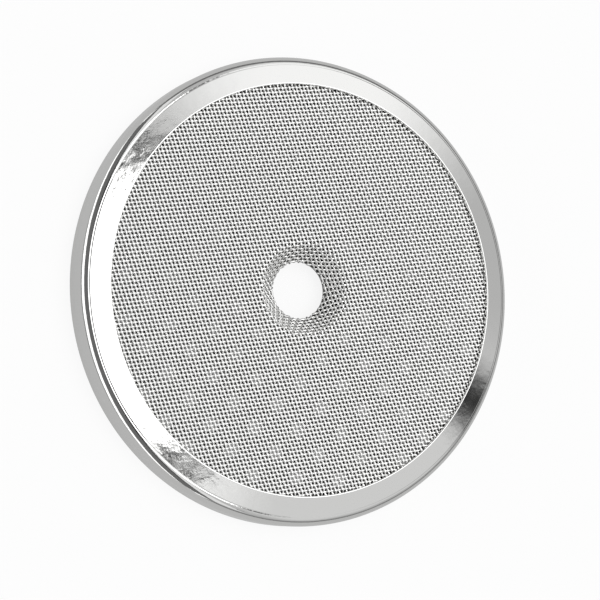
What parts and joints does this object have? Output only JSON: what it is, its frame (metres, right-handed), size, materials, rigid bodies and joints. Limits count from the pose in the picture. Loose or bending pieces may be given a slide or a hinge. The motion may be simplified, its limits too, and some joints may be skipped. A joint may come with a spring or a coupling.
{
  "type": "espresso shower screen",
  "caption": "Round dished shower screen with a polished steel rim, a woven wire mesh over a perforated plate and a central screw hole.",
  "frame": {"origin": "on the centre line, in the plane of the ring's back edge, which the screen lies on", "axes": "+Z along the centre line towards the mesh side, +X and +Y along the rows of the plate's holes"},
  "size_m": [0.0576, 0.0576, 0.0045],
  "materials": {
    "rim_ring": "polished stainless steel",
    "perforated_plate": "satin stainless steel sheet",
    "wire_mesh": "bright drawn stainless steel wire"
  },
  "bodies": {
    "root": {"rim_ring": "rim_ring", "perforated_plate": "perforated_plate", "wire_mesh": "wire_mesh"}
  },
  "joints": []
}
